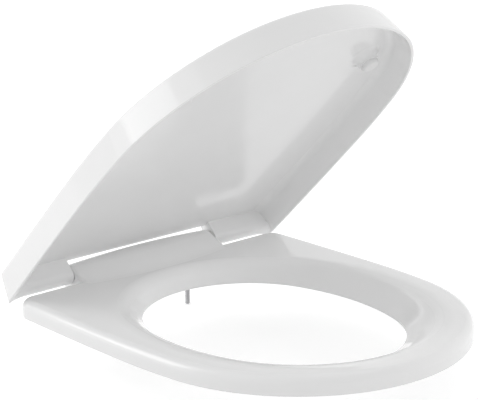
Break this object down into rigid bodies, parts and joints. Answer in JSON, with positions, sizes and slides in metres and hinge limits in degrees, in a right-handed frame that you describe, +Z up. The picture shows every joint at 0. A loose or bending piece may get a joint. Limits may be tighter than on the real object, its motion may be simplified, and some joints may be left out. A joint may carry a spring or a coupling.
{
  "type": "toilet seat",
  "caption": "Toilet seat: a dished open ring and a deep lid that drops over it, both on one rear hinge whose posts are fixed to the pan with studs.",
  "frame": {"origin": "midway between the fixing studs, on the top of the pan", "axes": "+X to the right seen from the front, +Y towards the wall, +Z up"},
  "size_m": [0.382, 0.4505, 0.3941],
  "materials": {
    "moulding": "polished thermoset",
    "bumper": "satin",
    "bush": "satin",
    "casting": "satin",
    "steel": "bright",
    "gasket": "matt"
  },
  "bodies": {
    "base": {"hinge_post_left": "casting", "hinge_post_right": "casting", "hinge_pin_left": "steel", "hinge_pin_right": "steel", "grub_screw_left": "steel", "grub_screw_right": "steel", "base_gasket_left": "gasket", "base_gasket_right": "gasket", "stud_left": "steel", "stud_right": "steel"},
    "ring": {"seat_ring": "moulding", "ring_bumper_front_left": "bumper", "ring_bumper_front_right": "bumper", "ring_bumper_rear_left": "bumper", "ring_bumper_rear_right": "bumper", "ring_bush_left": "bush", "ring_bush_right": "bush"},
    "lid": {"lid": "moulding", "lid_bumper_left": "bumper", "lid_bumper_right": "bumper", "lid_bush_left": "bush", "lid_bush_right": "bush"}
  },
  "joints": [
    {"name": "ring_hinge", "type": "hinge", "parent": "base", "child": "ring", "pos_m": [0, -0.0135, 0.0325], "axis": [-1, 0, 0], "range_deg": [0, 95]},
    {"name": "lid_hinge", "type": "hinge", "parent": "ring", "child": "lid", "pos_m": [0, -0.0135, 0.0325], "axis": [-1, 0, 0], "range_deg": [-45.65, 55]}
  ]
}
